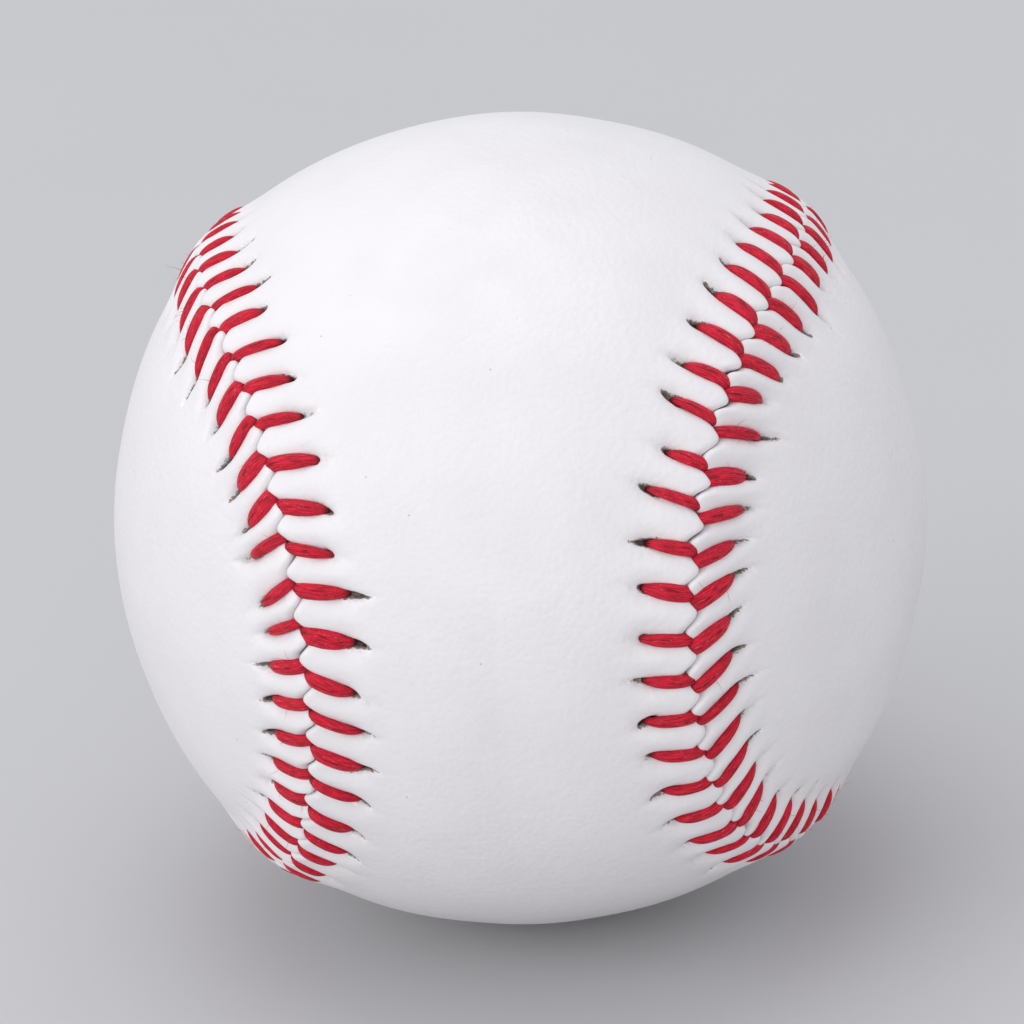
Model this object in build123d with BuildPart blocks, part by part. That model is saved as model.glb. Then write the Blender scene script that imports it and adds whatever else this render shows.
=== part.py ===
from build123d import *
from math import acos, atan2, ceil, cos, degrees, floor, hypot, pi, radians, sin, sqrt, tan
import os

# A sewn baseball: a cushioned cork centre, four wound layers, two leather panels and one red thread.
# Millimetres, +Z up, origin at the middle of the ball. The front panel's waist faces -Y and its two
# round ends lie at +Z and -Z; the back panel's waist faces +Y and its round ends lie at +X and -X.

# Ball and cover
ball_diameter = 73.0         # over plain leather, clear of the seam
leather = 1.3                # thickness of the cover
neck_width = 32.8            # across a panel's waist, seam line to seam line, over the leather
lobe_radius = 27.7           # from the middle of a panel's round end to the seam line, over the leather
seam_gap = 0.3               # between the edges of the two panels
edge_round = 0.8             # rolled edge of the leather at the seam
margin_fall = 5.0            # length of the slope from the raised margin to the plain leather

# Sewing
stitch_count = 108           # stitches on each panel
thread_diameter = 1.0
thread_bend = 0.72           # radius of the thread's turns, at its middle line
thread_room = 0.1            # clearance round the thread
hole_diameter = 1.3          # awl holes, and the notches where the thread passes the edges
hole_offset = 4.2            # from the seam line to the middle of a hole, over the leather
hole_wall = 0.6              # raised leather outside a hole
stitch_lead = 1.2            # how far along the seam a hole lies ahead of its thread's crossing
groove_depth = 0.8           # how deep a stitch sinks into the leather
first_tail = 1.9             # of the thread's tucked start, along the seam
last_tail_along = 1.0        # of its tucked end, along the seam
last_tail_across = 0.9       # and across it, under the front panel

# Centre and windings
cork_diameter = 20.6
black_rubber = 4.0           # wall of the two rubber cups round the cork
washer_thickness = 1.6       # between the two cups
red_rubber = 2.4             # wall of the moulded shell round the cups
white_wool = 1.7
outer_grey_wool = 2.2
finish_cotton = 0.5
layer_room = 0.05            # between one layer and the next

cut_overrun = 1.0

# Where the stitches cross the seam, as shares of one stitch length
back_crossing_share = 0.42
front_crossing_share = 1.02
# Where the thread starts its second lap it passes the first hole: stitch lengths on, share of the hole's offset
lap_pass_shares = ((0.78, 0.48), (2.08, 0.57))
# The slope of the raised margin: shares of its length, with the share of the lift left there
slope_shares = ((0.25, 0.875), (0.5, 0.5), (0.75, 0.125))

ball_radius = ball_diameter / 2
cover_inside = ball_radius - leather
thread_radius = thread_diameter / 2
centre = (0, 0, 0)

os.makedirs("parts", exist_ok=True)


def finish(piece, name):
    """Names a finished piece and writes it to its own file."""
    piece.part.label = name
    export_step(piece.part, f"parts/{name}.step", write_pcurves=False)


# The seam line
# It is eight tangent arcs on the sphere: each of the four round ends is a small circle about its own
# middle, and each pair of neighbouring ends is joined by a great circle that passes a diagonal of XZ.
neck_angle = neck_width / 2 / ball_radius
lobe_angle = lobe_radius / ball_radius
lobe_ring = ball_radius * sin(lobe_angle)
lobe_middle = Vector(sin(neck_angle + lobe_angle), -cos(neck_angle + lobe_angle), 0)
neck_point = Vector(sin(neck_angle), -cos(neck_angle), 0)
diagonal = Vector(1, 0, 1).normalized()
cross_diagonal = Vector(1, 0, -1).normalized()
lean = atan2(lobe_middle.Y, lobe_middle.dot(cross_diagonal))
lean += acos(sin(lobe_angle) / hypot(lobe_middle.Y, lobe_middle.dot(cross_diagonal)))
side_pole = cross_diagonal * cos(lean) + Vector(0, 1, 0) * sin(lean)
join_point = (lobe_middle - side_pole * side_pole.dot(lobe_middle)).normalized()
lobe_turn = 2 * atan2(join_point.Z, join_point.dot(lobe_middle.cross(Vector(0, 0, 1))))
side_turn = 2 * radians(join_point.get_angle(diagonal))
lobe_run = lobe_ring * lobe_turn
side_run = ball_radius * side_turn
seam_quarter = lobe_run + side_run
seam_length = 4 * seam_quarter
pitch = seam_length / stitch_count


def quarter_on(v):
    """The same direction a quarter of the seam further on: a quarter turn about Y, then Y reversed."""
    return Vector(-v.Z, -v.Y, v.X)


def seam_frame(s):
    """Unit vectors outwards, along the seam and towards the front panel, s along the seam line."""
    quarters, along = divmod(s + lobe_run / 2, seam_quarter)
    if along < lobe_run:
        axis, start, swing = -lobe_middle, neck_point, (along - lobe_run / 2) / lobe_ring
    else:
        axis, start, swing = -side_pole, join_point, (along - lobe_run) / ball_radius
    outward = start.rotate(Axis(centre, axis), degrees(swing))
    ahead = axis.cross(outward).normalized()
    for _ in range(int(quarters) % 4):
        outward, ahead = quarter_on(outward), quarter_on(ahead)
    return outward, ahead, outward.cross(ahead)


def seam_place(s, offset, radius):
    """The point s along the seam and offset from it towards the front panel, at a radius of the ball."""
    outward, ahead, side = seam_frame(s)
    angle = offset / ball_radius
    return (outward * cos(angle) + side * sin(angle)) * radius


def seam_arcs():
    """Each arc of the seam as its start, its length, its axis and its turn in degrees."""
    lobe_axis, side_axis = -lobe_middle, -side_pole
    for quarter in range(4):
        start = quarter * seam_quarter - lobe_run / 2
        yield start, lobe_run, Axis(centre, lobe_axis), degrees(lobe_turn)
        yield start + lobe_run, side_run, Axis(centre, side_axis), degrees(side_turn)
        lobe_axis, side_axis = -quarter_on(lobe_axis), -quarter_on(side_axis)


def seam_plane(s, side):
    """The plane across the seam at s, with X towards one panel and Y outwards."""
    outward, ahead, front = seam_frame(s)
    return Plane(centre, x_dir=front * side, z_dir=ahead * side)


# Sections across the seam
margin_lift = thread_diameter + 2 * thread_room
margin_flat = hole_offset + hole_diameter / 2 + hole_wall
margin_width = margin_flat + margin_fall
crest_radius = ball_radius + margin_lift


def across(offset, radius):
    """A point of the section, offset from the seam line along the leather."""
    return radius * sin(offset / ball_radius), radius * cos(offset / ball_radius)


def foot(radius):
    """Where the raised margin ends, on a sphere about the middle of the ball."""
    reach = ball_radius * sin(margin_width / ball_radius)
    return reach, sqrt(radius ** 2 - reach ** 2)


def slope(base_radius):
    """Two tangent arcs from the raised margin down to a plain radius, out from the seam."""
    (near, high), (middle, half), (far, low) = slope_shares
    top = across(margin_flat, base_radius + margin_lift)
    knee = across(margin_flat + middle * margin_fall, base_radius + half * margin_lift)
    ThreePointArc(top, across(margin_flat + near * margin_fall, base_radius + high * margin_lift), knee)
    ThreePointArc(knee, across(margin_flat + far * margin_fall, base_radius + low * margin_lift), foot(base_radius))


def margin_section(plane):
    """A panel's raised margin: level over the thread, rolled at the seam, sloping down to the shell."""
    edge = seam_gap / 2
    rolled = edge + edge_round
    inside_crest = crest_radius - leather
    inside_edge = (edge, sqrt(inside_crest ** 2 - edge ** 2))
    top_edge = (rolled, sqrt(crest_radius ** 2 - rolled ** 2))
    side_edge = (edge, top_edge[1] - edge_round)
    with BuildSketch(plane) as section:
        with BuildLine():
            Line(inside_edge, side_edge)
            RadiusArc(side_edge, top_edge, edge_round)
            ThreePointArc(top_edge, across(margin_flat / 2, crest_radius), across(margin_flat, crest_radius))
            slope(ball_radius)
            Line(foot(ball_radius), foot(cover_inside))
            slope(cover_inside)
            ThreePointArc(across(margin_flat, inside_crest), across(margin_flat / 2, inside_crest), inside_edge)
        make_face()
    return section.sketch


def strip_section(plane):
    """The strip of plain shell that the raised margins take the place of."""
    outside, inside = ball_radius + cut_overrun, foot(cover_inside)[1] - cut_overrun
    with BuildSketch(plane) as section:
        with Locations((0, (outside + inside) / 2)):
            Rectangle(2 * foot(ball_radius)[0], outside - inside)
    return section.sketch


# Plain leather: a shell without its seam strip, which leaves the middles of the two panels. The poles of
# its spheres lie on the seam, so that neither middle has one.
with BuildPart() as plain_leather:
    with Locations(Plane(centre, z_dir=diagonal)):
        Sphere(ball_radius)
        Sphere(cover_inside, mode=Mode.SUBTRACT)
    for start, run, axis, turn in seam_arcs():
        revolve(strip_section(seam_plane(start, 1)), axis, turn, mode=Mode.SUBTRACT)

# Sewing: side is 1 on the front panel and -1 on the back panel
over_radius = crest_radius - groove_depth + thread_room + thread_radius
under_radius = cover_inside + thread_room + thread_radius


def crossing(place, side):
    """How far along the seam the thread of a stitch dives between the panels."""
    return (place + (front_crossing_share if side > 0 else back_crossing_share)) * pitch


def hole_point(place, side, radius):
    """The middle of a stitch's hole at a radius of the ball."""
    return seam_place(crossing(place, side) + stitch_lead, side * hole_offset, radius)


def dive_point(place, side, radius):
    """Where a stitch crosses the seam line at a radius of the ball."""
    return seam_place(crossing(place, side), 0, radius)


def sewn_margin(side, start, run, axis, turn):
    """One arc of a panel's raised margin, with its holes, the grooves of its stitches and the notches
    where threads dive."""
    drill_depth = 2 * (leather + margin_lift)
    reach = stitch_lead + hole_diameter
    first, last = floor((start - reach) / pitch) - 1, ceil((start + run + reach) / pitch)
    places = range(first, last + 1)
    drills = [hole_point(place, side, ball_radius) for place in places]
    drills += [dive_point(place, panel, ball_radius) for place in places for panel in (1, -1)]
    grooves = [(hole_point(place, side, over_radius), dive_point(place, side, over_radius)) for place in places]
    groove_length = (grooves[0][0] - grooves[0][1]).length
    with BuildPart() as margin:
        revolve(margin_section(seam_plane(start, side)), axis, turn)
        with Locations(*[Plane(point, z_dir=point) for point in drills]):
            Cylinder(hole_diameter / 2, drill_depth, mode=Mode.SUBTRACT)
        with Locations(*[Plane((top + end) / 2, z_dir=end - top) for top, end in grooves]):
            Cylinder(thread_radius + thread_room, groove_length, mode=Mode.SUBTRACT)
    return margin.part


middles = plain_leather.part.solids().sort_by(Axis.Y)
with BuildPart() as cover_panel_front:
    add(middles[0])
    add([sewn_margin(1, *arc) for arc in seam_arcs()])
finish(cover_panel_front, "cover_panel_front")

with BuildPart() as cover_panel_back:
    add(middles[-1])
    add([sewn_margin(-1, *arc) for arc in seam_arcs()])
finish(cover_panel_back, "cover_panel_back")


# Thread: it comes up through a hole, crosses over its panel, dives at the seam and runs under the other
# panel to the next hole there. After one lap of the seam it goes on to the holes that it passed over.
def thread_corners():
    """The corners of the thread's route from one tucked end to the other, each with its bend. Half way
    along a run under the leather the thread bends with the ball."""
    first = crossing(0, 1) + stitch_lead
    corners = [(seam_place(first - first_tail, hole_offset, under_radius), thread_bend)]
    for number in range(2 * stitch_count):
        side = 1 if number % 2 == 0 else -1
        place = number if number < stitch_count else number - stitch_count + 1
        rise = hole_point(place, side, under_radius)
        if number == stitch_count:
            for lengths_on, reach in lap_pass_shares:
                s = crossing(number - 1, -1) + lengths_on * pitch
                corners.append((seam_place(s, reach * hole_offset, under_radius), thread_bend))
        elif number > 0:
            corners.append(((corners[-1][0] + rise).normalized() * under_radius, under_radius))
        over = [hole_point(place, side, over_radius), dive_point(place, side, over_radius)]
        turns = [rise, *over, dive_point(place, side, under_radius)]
        corners += [(turn, thread_bend) for turn in turns]
    last = crossing(stitch_count, -1)
    corners.append((seam_place(last + last_tail_along, last_tail_across, under_radius), thread_bend))
    return corners


def rounded_route(corners):
    """Straight runs joined by tangent arcs."""
    points = [point for point, bend in corners]
    edges, start = [], points[0]
    for before, (corner, bend), after in zip(points, corners[1:], points[2:]):
        arriving, leaving = (corner - before).normalized(), (after - corner).normalized()
        reach = bend * tan(radians(arriving.get_angle(leaving)) / 2)
        arc_start, arc_end = corner - arriving * reach, corner + leaving * reach
        edges += [Edge.make_line(start, arc_start), Edge.make_tangent_arc(arc_start, arriving, arc_end)]
        start = arc_end
    edges.append(Edge.make_line(start, points[-1]))
    return Wire(edges)


route = rounded_route(thread_corners())
with BuildPart() as sewing_thread:
    with BuildSketch(Plane(route @ 0, z_dir=route % 0)):
        Circle(thread_radius)
    sweep(path=route)
finish(sewing_thread, "sewing_thread")
section_volume = pi * thread_radius ** 2 * route.length
print(f"seam {seam_length:.1f} mm, stitch pitch {pitch:.3f} mm, thread {route.length:.0f} mm")
print(f"thread volume {sewing_thread.part.volume:.1f}, section times length {section_volume:.1f} mm3")

# Centre: cork in two rubber cups with a washer between them, in a moulded shell
cork_radius = cork_diameter / 2
cup_inside = cork_radius + layer_room
cup_outside = cup_inside + black_rubber
shell_inside = cup_outside + layer_room
pill_radius = shell_inside + red_rubber

with BuildPart() as cork_core:
    Sphere(cork_radius)
finish(cork_core, "cork_core")

cup_face = Plane.XY.offset(washer_thickness / 2)
with BuildPart() as black_rubber_cup_upper:
    Sphere(cup_outside)
    Sphere(cup_inside, mode=Mode.SUBTRACT)
    split(bisect_by=cup_face, keep=Keep.TOP)
finish(black_rubber_cup_upper, "black_rubber_cup_upper")

with BuildPart() as black_rubber_cup_lower:
    add(black_rubber_cup_upper.part.mirror(Plane.XY))
finish(black_rubber_cup_lower, "black_rubber_cup_lower")

with BuildPart() as red_rubber_washer:
    Sphere(cup_outside)
    Sphere(cup_inside, mode=Mode.SUBTRACT)
    split(bisect_by=cup_face, keep=Keep.BOTTOM)
    split(bisect_by=Plane.XY.offset(-washer_thickness / 2), keep=Keep.TOP)
finish(red_rubber_washer, "red_rubber_washer")


def layer(inside, outside):
    """A closed spherical layer, called inside a part."""
    Sphere(outside)
    Sphere(inside, mode=Mode.SUBTRACT)


with BuildPart() as red_rubber_shell:
    layer(shell_inside, pill_radius)
finish(red_rubber_shell, "red_rubber_shell")

# Windings: each layer has its own thickness, and the inner grey wool fills what is left to the centre
cotton_outside = cover_inside - layer_room
outer_grey_outside = cotton_outside - finish_cotton - layer_room
white_outside = outer_grey_outside - outer_grey_wool - layer_room
inner_grey_outside = white_outside - white_wool - layer_room

with BuildPart() as grey_wool_winding_inner:
    layer(pill_radius + layer_room, inner_grey_outside)
finish(grey_wool_winding_inner, "grey_wool_winding_inner")

with BuildPart() as white_wool_winding:
    layer(inner_grey_outside + layer_room, white_outside)
finish(white_wool_winding, "white_wool_winding")

with BuildPart() as grey_wool_winding_outer:
    layer(white_outside + layer_room, outer_grey_outside)
finish(grey_wool_winding_outer, "grey_wool_winding_outer")

with BuildPart() as cotton_finish_winding:
    layer(outer_grey_outside + layer_room, cotton_outside)
finish(cotton_finish_winding, "cotton_finish_winding")
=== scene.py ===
from math import acos, atan2, cos, hypot, pi, radians, sin, sqrt

import bpy
import numpy as np
from mathutils import Matrix, Vector


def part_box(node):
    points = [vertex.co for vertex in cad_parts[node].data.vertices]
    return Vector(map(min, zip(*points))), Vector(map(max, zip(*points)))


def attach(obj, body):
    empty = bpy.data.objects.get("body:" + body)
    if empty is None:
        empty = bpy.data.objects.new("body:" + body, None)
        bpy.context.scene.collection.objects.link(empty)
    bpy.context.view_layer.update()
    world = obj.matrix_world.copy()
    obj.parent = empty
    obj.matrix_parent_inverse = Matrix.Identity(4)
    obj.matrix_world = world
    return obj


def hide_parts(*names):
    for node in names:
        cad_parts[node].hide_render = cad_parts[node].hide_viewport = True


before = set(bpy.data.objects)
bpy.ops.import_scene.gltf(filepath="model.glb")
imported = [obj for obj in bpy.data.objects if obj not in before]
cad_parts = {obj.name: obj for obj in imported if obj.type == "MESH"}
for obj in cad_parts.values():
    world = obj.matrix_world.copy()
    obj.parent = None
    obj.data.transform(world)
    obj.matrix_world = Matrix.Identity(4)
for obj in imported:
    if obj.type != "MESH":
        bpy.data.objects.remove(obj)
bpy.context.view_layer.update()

bl_info = {
    "name": "Sewn Baseball",
    "version": (1, 0, 0),
    "blender": (4, 5, 0),
    "location": "View3D > Sidebar > Baseball",
    "description": "Dresses the packed baseball with its leather, red stitching, yarns and core finishes",
    "category": "Add Mesh",
}

MM = 0.001
FRONT, BACK = 1, -1

STITCHES = 108
STITCH_SEEDS = {FRONT: 41, BACK: 43}
FIRST_STITCH = {FRONT: 0.77, BACK: 0.5}  # shares of a stitch length
HAIR_SEED = 47

# The grid of a panel: columns along the seam, and rows in millimetres inward from the panel's edge.
COLUMNS_A_STITCH = 20
COARSE = 4  # the middle and the inside of a panel have each fourth column
ROWS_OUTSIDE = np.array([
    0, 0.05, 0.13, 0.25, 0.4, 0.6, 0.85, 1.15, 1.5, 1.85, 2.2, 2.5, 2.8, 3.05, 3.3, 3.55,
    3.8, 4.05, 4.3, 4.55, 4.8, 5.05, 5.3, 5.55, 5.85, 6.2, 6.6, 7.1, 7.7, 8.5, 9.4, 10.5])
ROWS_INSIDE = np.array([[0.0], [3.0], [6.0], [8.5], [10.5]])
ROWS_TO_MIDDLE = 12
HALF_GAP = 0.008  # from the seam line to a panel's edge
WALL_DEPTH = 0.35  # of the upright edge where the panels meet
SWAY_FADE = 2.4  # how far inward the edge's sway goes

# The thread and the yarns: points round a section, points to a key, and the grids under the yarns.
THREAD_SIDES, THREAD_STEPS = 14, 3
YARN_SIDES = 5
SHELL_GRID, HOLLOW_GRID = (96, 48), (64, 32)
THREAD_KEYS = (
    # share of the reach, past the hole, height over the bed (None: hidden), width, thickness, shade
    (1.0, 0.45, None, 0.66, 1.0, 1.0),
    (1.0, 0.50, -0.75, 0.50, 0.8, 0.8),
    (1.0, 0.10, -0.22, 0.70, 0.8, 0.15),
    (0.84, 0.0, 0.02, 0.95, 1.0, 0.0),
    (0.58, 0.0, 0.07, 1.08, 1.04, 0.0),
    (0.32, 0.0, 0.05, 1.05, 1.04, 0.0),
    (0.12, 0.0, -0.08, 1.0, 1.0, 0.1),
    (-0.06, 0.0, -0.62, 0.9, 1.0, 1.0),
    (-0.16, 0.0, None, 0.7, 1.0, 1.0),
)

# The studio, in metres.
LIGHTS = (
    # name, place, size, power, tint
    ("Key", (-1.10, -0.65, 0.45), 0.9, 4.85, (1.0, 0.99, 1.0)),
    ("Top", (-0.10, 0.12, 1.3), 1.1, 4.2, (0.98, 0.985, 1.0)),
    ("Fill", (0.10, -1.30, 0.0), 1.0, 4.35, (1.0, 0.985, 0.98)),
)
FLOOR_REACH, FLOOR_POINTS, FLOOR_LEVEL = 3, 7, -0.0365


def length_setting(name, description, default):
    """A setting for a length in metres."""
    return bpy.props.FloatProperty(name=name, description=description, default=default, unit="LENGTH")


def angle_setting(name, description, degrees):
    """A setting for an angle, which is kept in radians."""
    return bpy.props.FloatProperty(
        name=name, description=description, default=radians(degrees), subtype="ANGLE")


def colour_setting(name, description, default):
    """A setting for a colour."""
    return bpy.props.FloatVectorProperty(
        name=name, description=description, default=default, subtype="COLOR", size=3)


class CoverSizes(bpy.types.PropertyGroup):
    """Sizes of the leather cover."""
    radius: length_setting("Ball radius", "Over plain leather, clear of the seam", 0.0365)
    waist: length_setting("Waist width", "Across a panel's waist, seam line to seam line", 0.0328)
    round_end: length_setting("Round end", "From the middle of a panel's round end to the seam line", 0.0277)
    leather: length_setting("Leather thickness", "Of the cover", 0.0013)
    lift: length_setting("Seam lift", "How far the leather rises at the seam", 0.00142)
    pillow: length_setting("Pillow", "How far the leather swells between two stitches", 0.00025)
    groove: length_setting("Groove", "How deep a stitch lies in the leather", 0.00056)
    zigzag: length_setting("Zigzag", "How far the edges push each other from side to side", 0.0007)
    colour: colour_setting("Leather", "Colour of the clean leather", (0.805, 0.788, 0.795))


class SewingSizes(bpy.types.PropertyGroup):
    """Sizes of the sewing."""
    hole_reach: length_setting("Hole offset", "From the seam line to the middle of a hole", 0.0036)
    lead: length_setting("Stitch lead", "How far along the seam a hole lies ahead of its crossing", 0.0010)
    lead_swing: length_setting(
        "Lead swing", "How far the lead differs between the panels and round the ball", 0.0003)
    width: length_setting("Thread width", "Of the flattened thread", 0.00133)
    thickness: length_setting("Thread thickness", "Of the flattened thread", 0.0009)
    hairs: bpy.props.IntProperty(
        name="Hairs", description="Loose fibres that stand off the thread", default=500, min=1, max=600)
    uneven: bpy.props.FloatProperty(
        name="Unevenness", description="How far hand-sewn stitches differ",
        default=1.0, min=0.0, max=2.0, subtype="FACTOR")
    colour: colour_setting("Thread", "Colour of the waxed thread", (0.75, 0.011, 0.040))


class WindingSizes(bpy.types.PropertyGroup):
    """Sizes of the wound layers."""
    thick_wool: length_setting("Thick wool", "Width of the yarn next to the centre", 0.0016)
    wool: length_setting("Wool", "Width of the yarn of the middle layers", 0.0012)
    cotton: length_setting("Cotton", "Width of the finishing yarn", 0.0006)
    grey: colour_setting("Grey wool", "Colour of the grey yarn", (0.36, 0.35, 0.34))
    white: colour_setting("White wool", "Colour of the white yarn", (0.80, 0.77, 0.70))
    ecru: colour_setting("Cotton", "Colour of the cotton yarn", (0.82, 0.79, 0.72))


class StageSizes(bpy.types.PropertyGroup):
    """The camera and the studio."""
    azimuth: angle_setting("Azimuth", "Of the camera, from straight in front", 4.82)
    elevation: angle_setting("Elevation", "Of the camera, above the horizon", 23.16)
    roll: angle_setting("Roll", "Of the camera", 4.43)
    distance: length_setting("Distance", "From the camera to the middle of the ball", 0.5138)
    lens: bpy.props.FloatProperty(
        name="Lens", description="Focal length in millimetres on a 36 mm sensor", default=200.9)
    floor_colour: colour_setting("Floor", "Colour of the floor", (0.53, 0.533, 0.54))


class BaseballSettings(bpy.types.PropertyGroup):
    """All the settings of the ball."""
    cover: bpy.props.PointerProperty(type=CoverSizes, name="Cover", description="Leather panels")
    sewing: bpy.props.PointerProperty(type=SewingSizes, name="Sewing", description="Red thread")
    winding: bpy.props.PointerProperty(
        type=WindingSizes, name="Winding", description="Wool and cotton layers")
    stage: bpy.props.PointerProperty(
        type=StageSizes, name="Stage", description="Camera, lights and floor")


def settings():
    """The scene's settings of the ball."""
    return bpy.context.scene.baseball


def unit(v):
    """Each row divided by its length."""
    return v / np.linalg.norm(v, axis=-1, keepdims=True)


def square_to(v, axis):
    """Each row less its part along a unit axis, divided by its length."""
    return unit(v - axis * (v * axis).sum(-1, keepdims=True))


def smooth(low, high, x):
    """0 below low, 1 above high, and 3 t^2 - 2 t^3 between them."""
    t = np.clip((x - low) / (high - low), 0, 1)
    return t * t * (3 - 2 * t)


def bell(*parts):
    """exp of minus the sum of (x / width)^2, over pairs of an x and a width."""
    return np.exp(-sum((x / width) ** 2 for x, width in parts))


def plateau(x, width, power):
    """exp(-|x / width|^power), flatter on top than a bell and steeper at its sides."""
    return np.exp(-np.abs(x / width) ** power)


def length_along(line):
    """The length of a line of points up to each of them."""
    return np.concatenate([[0], np.cumsum(np.linalg.norm(np.diff(line, axis=0), axis=1))])


class Seam:
    """The seam line: eight tangent arcs on a sphere of radius R, in millimetres. Each of four round ends is a
    small circle about its own middle, and each pair of neighbours is joined by a great circle through a
    diagonal of XZ. A quarter further on, everything is turned a quarter about Y with Y reversed."""

    TABLE_STEPS, TABLE_PARTS = 4096, 64

    def __init__(self, radius, waist, round_end):
        self.radius = radius
        neck, lobe = waist / 2 / radius, round_end / radius
        self.ring = radius * sin(lobe)
        self.end_angle = neck + lobe
        self.lobe_middle = np.array([sin(neck + lobe), -cos(neck + lobe), 0.0])
        self.neck_point = np.array([sin(neck), -cos(neck), 0.0])
        diagonal, cross_diagonal = np.array([1, 0, 1]) / sqrt(2), np.array([1, 0, -1]) / sqrt(2)
        level, depth = self.lobe_middle @ cross_diagonal, self.lobe_middle[1]
        lean = atan2(depth, level) + acos(sin(lobe) / hypot(depth, level))
        self.pole = cross_diagonal * cos(lean) + np.array([0, 1, 0]) * sin(lean)
        self.join = unit(self.lobe_middle - self.pole * (self.pole @ self.lobe_middle))
        lobe_turn = 2 * atan2(self.join[2], self.join @ np.cross(self.lobe_middle, [0, 0, 1]))
        self.lobe_run = self.ring * lobe_turn
        self.quarter = self.lobe_run + 2 * radius * acos(self.join @ diagonal)
        self.length = 4 * self.quarter
        step = np.array([[0, 0, -1], [0, -1, 0], [1, 0, 0]], float)
        self.turns = np.stack([np.linalg.matrix_power(step, k) for k in range(4)])
        self.table = np.arange(self.TABLE_STEPS) * self.length / self.TABLE_STEPS

    def frame(self, s):
        """Unit vectors outwards, along the seam and towards the front panel: the start of the arc turned
        about the arc's axis by its swing (Rodrigues), then carried on by whole quarters."""
        quarters, along = np.divmod(s + self.lobe_run / 2, self.quarter)
        lobe = along < self.lobe_run
        axis = np.where(lobe[..., None], -self.lobe_middle, -self.pole)
        start = np.where(lobe[..., None], self.neck_point, self.join)
        swing = np.where(
            lobe, (along - self.lobe_run / 2) / self.ring, (along - self.lobe_run) / self.radius)
        c, q = np.cos(swing)[..., None], np.sin(swing)[..., None]
        on_axis = axis * (axis * start).sum(-1, keepdims=True)
        outward = start * c + np.cross(axis, start) * q + on_axis * (1 - c)
        ahead = unit(np.cross(axis, outward))
        turn = self.turns[quarters.astype(int) % 4]
        outward, ahead = (np.einsum("...ij,...j->...i", turn, v) for v in (outward, ahead))
        return outward, ahead, np.cross(outward, ahead)

    def direction(self, s, offset):
        """The unit vector s along the seam and offset from it towards the front panel, over the leather."""
        outward, _, side = self.frame(s)
        angle = (offset / self.radius)[..., None]
        return outward * np.cos(angle) + side * np.sin(angle)

    def nearest(self, points):
        """The place s of the seam's point nearest to each point, from a table, and the distance to it over
        the ball."""
        outward = self.frame(self.table)[0]
        ways = unit(points)
        found = np.concatenate(
            [(part @ outward.T).argmax(1) for part in np.array_split(ways, self.TABLE_PARTS)])
        angle = np.arccos(np.clip((ways * outward[found]).sum(-1), -1, 1))
        return self.table[found], self.radius * angle

    def spine(self, s, side):
        """The point of a panel's own middle line that faces s: the middle of a round end, or a point of the
        great circle from there to the waist, in step with s."""
        t = np.mod(s if side == FRONT else s - self.quarter, self.length)
        half = 2 * self.quarter
        near = np.minimum(np.mod(t, half), half - np.mod(t, half))
        angle = (pi - self.end_angle) * np.clip(near / (self.quarter - self.lobe_run / 2), 0, 1)
        sign = np.where(t < half, 1.0, -1.0)
        line = np.stack([np.zeros_like(angle), -np.cos(angle), sign * np.sin(angle)], -1)
        return line if side == FRONT else line @ self.turns[1].T


class Stitches:
    """Where the stitches of one panel lie, in millimetres: stitch k crosses the seam at s[k] and its hole
    lies lead[k] further along and reach[k] from the seam line. The other values say how each stitch differs:
    the share of its width, its slit's length and turn, the gape of the edges beside it, its crease, the
    shares of its sink and swell, and how dark its slit is. Seeded, so that each run gives the same ball."""

    def __init__(self, seam, side):
        sewing = settings().sewing
        draw = np.random.default_rng(STITCH_SEEDS[side])
        # Each vary is a normal draw with this spread, and each clip ends with its limits.
        vary = lambda spread: sewing.uneven * draw.normal(0, spread, STITCHES)
        self.pitch = seam.length / STITCHES
        self.s = (np.arange(STITCHES) + FIRST_STITCH[side]) * self.pitch + vary(0.13)
        swing = 1.3 + np.cos(2 * pi * self.s / seam.length)
        self.lead = sewing.lead / MM - side * swing * sewing.lead_swing / MM + vary(0.2)
        self.reach = sewing.hole_reach / MM - 0.1 * side + vary(0.24)
        self.width = np.clip(0.95 + vary(0.19), 0.62, 1.28)
        self.slit = np.clip(1.08 + vary(0.38), 0.45, 1.7)
        self.gape = np.clip(vary(0.16), 0, 0.4)
        self.slit_turn = vary(0.12)
        self.crease = np.clip(draw.normal(0.5, 0.4, STITCHES), 0, 1.3)
        self.sink = 1 + vary(0.1)
        self.swell = 1 + vary(0.16)
        self.mark = np.clip(0.82 + vary(0.28), 0.3, 1.1)

    def nearest(self, seam, s, inward):
        """For points s along the seam and inward from the panel's edge: the nearest stitch k, and the share
        of a stitch length past its line. The line leans with the stitch and goes on past its hole."""
        furthest = 1.7  # shares of the reach
        count = np.arange(-2, STITCHES + 2)
        k = count % STITCHES
        start = self.s[k] + seam.length * np.floor(count / STITCHES)
        lines = [start + self.lead[k] * np.minimum(row / self.reach[k], furthest) for row in inward]
        share = np.stack([np.interp(s, line, count) for line in lines])
        nearest = np.rint(share)
        return nearest.astype(int) % STITCHES, share - nearest


def sewn_ball():
    """The seam with the cover's sizes, in millimetres, and the stitches of each panel."""
    cover = settings().cover
    seam = Seam(cover.radius / MM, cover.waist / MM, cover.round_end / MM)
    return seam, {side: Stitches(seam, side) for side in (FRONT, BACK)}


def seam_sway(seam, panels, s):
    """How far the meeting edges sway towards the front panel: each panel swells between its own stitches, as
    sin^2 of the share past a stitch, and pushes the other there."""
    sway = 0
    for side, stitches in panels.items():
        _, share = stitches.nearest(seam, s, np.zeros(1))
        sway = sway - side * np.sin(pi * share[0]) ** 2
    return sway * settings().cover.zigzag / MM


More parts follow.
